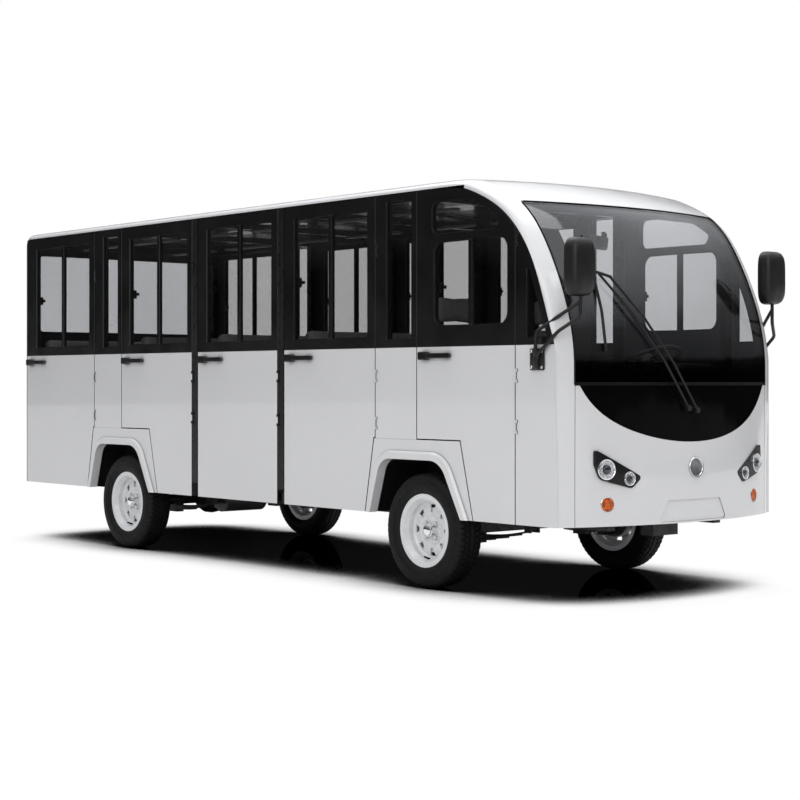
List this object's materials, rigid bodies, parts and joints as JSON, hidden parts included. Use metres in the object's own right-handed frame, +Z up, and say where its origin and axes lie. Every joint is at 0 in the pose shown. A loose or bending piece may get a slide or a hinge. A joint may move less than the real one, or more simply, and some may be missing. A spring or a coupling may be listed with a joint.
{
  "type": "enclosed electric sightseeing vehicle",
  "caption": "Enclosed low-speed electric passenger vehicle with side doors to each seat row, bowed windscreen, steered front axle and open wheel arches.",
  "frame": {"origin": "on the ground under the middle of the vehicle's length and width", "axes": "+Z up, -Y forward, +X to the vehicle's left"},
  "size_m": [1.6284, 5.1864, 2.0279],
  "materials": {
    "battery_case": "matt",
    "black_glass": "gloss",
    "black_paint": "gloss",
    "black_plastic": "satin",
    "body_white": "gloss",
    "cast_alloy": "satin",
    "chassis_black": "satin",
    "clear_glass": "clear",
    "floor_mat": "matt",
    "grey_leather": "satin",
    "lamp_lens": "gloss",
    "red_lens": "gloss",
    "spring_steel": "satin",
    "tinted_glass": "clear",
    "tyre_rubber": "matt",
    "wheel_silver": "satin"
  },
  "bodies": {
    "body": {"arch_panels": "body_white", "battery_pack": "battery_case", "body_frame": "black_paint", "chassis_frame": "chassis_black", "dark_front_panel": "black_glass", "dashboard": "black_plastic", "drive_motor": "cast_alloy", "fixed_side_glass": "clear_glass", "floor_panel": "floor_mat", "front_axle": "chassis_black", "front_mask": "body_white", "headlamps": "lamp_lens", "leaf_springs": "spring_steel", "mirrors": "black_plastic", "rear_axle": "chassis_black", "rear_panel": "body_white", "rear_window": "tinted_glass", "roof_panel": "body_white", "seat_backs": "grey_leather", "seat_cushions": "grey_leather", "seat_frames": "chassis_black", "side_panels": "body_white", "steering_column": "black_plastic", "tail_lamps": "red_lens", "tow_hitch": "chassis_black", "wheel_wells": "black_plastic", "windscreen": "tinted_glass", "wiper": "black_plastic"},
    "front_door_left": {"front_door_left": "body_white", "front_door_left_glass": "clear_glass"},
    "front_door_right": {"front_door_right": "body_white", "front_door_right_glass": "clear_glass"},
    "second_door_left": {"second_door_left": "body_white", "second_door_left_glass": "clear_glass"},
    "second_door_right": {"second_door_right": "body_white", "second_door_right_glass": "clear_glass"},
    "third_door_left": {"third_door_left": "body_white", "third_door_left_glass": "clear_glass"},
    "third_door_right": {"third_door_right": "body_white", "third_door_right_glass": "clear_glass"},
    "fourth_door_left": {"fourth_door_left": "body_white", "fourth_door_left_glass": "clear_glass"},
    "fourth_door_right": {"fourth_door_right": "body_white", "fourth_door_right_glass": "clear_glass"},
    "fifth_door_left": {"fifth_door_left": "body_white", "fifth_door_left_glass": "clear_glass"},
    "fifth_door_right": {"fifth_door_right": "body_white", "fifth_door_right_glass": "clear_glass"},
    "front_left_knuckle": {"front_left_knuckle": "cast_alloy"},
    "front_left_wheel": {"front_left_tyre": "tyre_rubber", "front_left_rim": "wheel_silver"},
    "rear_left_wheel": {"rear_left_tyre": "tyre_rubber", "rear_left_rim": "wheel_silver"},
    "front_right_knuckle": {"front_right_knuckle": "cast_alloy"},
    "front_right_wheel": {"front_right_tyre": "tyre_rubber", "front_right_rim": "wheel_silver"},
    "rear_right_wheel": {"rear_right_tyre": "tyre_rubber", "rear_right_rim": "wheel_silver"},
    "steering_wheel": {"steering_wheel": "black_plastic"},
    "tie_rod": {"tie_rod": "spring_steel"}
  },
  "joints": [
    {"name": "front_door_left_hinge", "type": "hinge", "parent": "body", "child": "front_door_left", "pos_m": [0.7785, -2.16, 1.1], "axis": [0, 0, -1], "range_deg": [0, 75]},
    {"name": "front_door_right_hinge", "type": "hinge", "parent": "body", "child": "front_door_right", "pos_m": [-0.7785, -2.16, 1.1], "axis": [0, 0, 1], "range_deg": [0, 75]},
    {"name": "second_door_left_hinge", "type": "hinge", "parent": "body", "child": "second_door_left", "pos_m": [0.7785, -1.128, 1.1], "axis": [0, 0, -1], "range_deg": [0, 75]},
    {"name": "second_door_right_hinge", "type": "hinge", "parent": "body", "child": "second_door_right", "pos_m": [-0.7785, -1.128, 1.1], "axis": [0, 0, 1], "range_deg": [0, 75]},
    {"name": "third_door_left_hinge", "type": "hinge", "parent": "body", "child": "third_door_left", "pos_m": [0.7785, -0.282, 1.1], "axis": [0, 0, -1], "range_deg": [0, 75]},
    {"name": "third_door_right_hinge", "type": "hinge", "parent": "body", "child": "third_door_right", "pos_m": [-0.7785, -0.282, 1.1], "axis": [0, 0, 1], "range_deg": [0, 75]},
    {"name": "fourth_door_left_hinge", "type": "hinge", "parent": "body", "child": "fourth_door_left", "pos_m": [0.7785, 0.564, 1.1], "axis": [0, 0, -1], "range_deg": [0, 75]},
    {"name": "fourth_door_right_hinge", "type": "hinge", "parent": "body", "child": "fourth_door_right", "pos_m": [-0.7785, 0.564, 1.1], "axis": [0, 0, 1], "range_deg": [0, 75]},
    {"name": "fifth_door_left_hinge", "type": "hinge", "parent": "body", "child": "fifth_door_left", "pos_m": [0.7785, 1.678, 1.1], "axis": [0, 0, -1], "range_deg": [0, 75]},
    {"name": "fifth_door_right_hinge", "type": "hinge", "parent": "body", "child": "fifth_door_right", "pos_m": [-0.7785, 1.678, 1.1], "axis": [0, 0, 1], "range_deg": [0, 75]},
    {"name": "front_left_steer", "type": "hinge", "parent": "body", "child": "front_left_knuckle", "pos_m": [0.6055, -1.472, 0.288], "axis": [0, 0, 1], "range_deg": [-30, 30]},
    {"name": "front_right_steer", "type": "hinge", "parent": "body", "child": "front_right_knuckle", "pos_m": [-0.6055, -1.472, 0.288], "axis": [0, 0, 1], "range_deg": [-30, 30]},
    {"name": "front_left_roll", "type": "hinge", "parent": "front_left_knuckle", "child": "front_left_wheel", "pos_m": [0.6805, -1.472, 0.288], "axis": [1, 0, 0], "continuous": true},
    {"name": "rear_left_roll", "type": "hinge", "parent": "body", "child": "rear_left_wheel", "pos_m": [0.6805, 1.334, 0.288], "axis": [1, 0, 0], "continuous": true},
    {"name": "front_right_roll", "type": "hinge", "parent": "front_right_knuckle", "child": "front_right_wheel", "pos_m": [-0.6805, -1.472, 0.288], "axis": [1, 0, 0], "continuous": true},
    {"name": "rear_right_roll", "type": "hinge", "parent": "body", "child": "rear_right_wheel", "pos_m": [-0.6805, 1.334, 0.288], "axis": [1, 0, 0], "continuous": true},
    {"name": "steering_wheel_turn", "type": "hinge", "parent": "body", "child": "steering_wheel", "pos_m": [0.36, -1.942, 1.13], "axis": [0, 0.4, 0.9165], "range_deg": [-480, 480]},
    {"name": "tie_rod_slide", "type": "slide", "parent": "body", "child": "tie_rod", "axis": [1, 0, 0], "range_m": [-0.08, 0.08]}
  ],
  "couplings": [
    {"joint": "front_right_steer", "follows": "front_left_steer", "ratio": 1},
    {"joint": "steering_wheel_turn", "follows": "front_left_steer", "ratio": 16},
    {"joint": "tie_rod_slide", "follows": "front_left_steer", "m_per_rad": -0.15}
  ]
}
